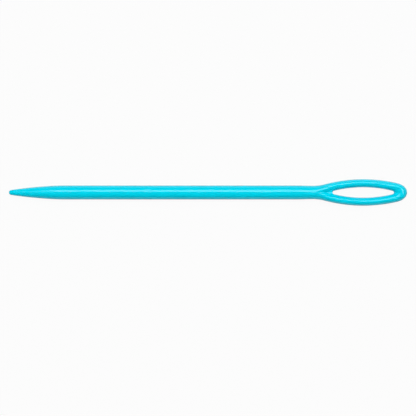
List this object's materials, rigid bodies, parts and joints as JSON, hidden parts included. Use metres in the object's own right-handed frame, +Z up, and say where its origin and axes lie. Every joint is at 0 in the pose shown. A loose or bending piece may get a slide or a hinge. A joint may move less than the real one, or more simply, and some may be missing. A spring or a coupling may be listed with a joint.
{
  "type": "yarn needle",
  "caption": "Straight plastic yarn needle with a blunt tapered point, a round shank and a long oval eye between two rounded bars.",
  "frame": {"origin": "the middle of the needle's length, on its axis line as seen from above, on the surface that the shank lies on", "axes": "+X along the needle from the point to the eye, +Y across it in the plane of the eye, +Z up, square to the plane of the eye"},
  "size_m": [0.0762, 0.005, 0.0027],
  "materials": {
    "needle_plastic": "moulded cyan plastic, satin gloss, same colour all through"
  },
  "bodies": {
    "root": {"needle": "needle_plastic"}
  },
  "joints": []
}
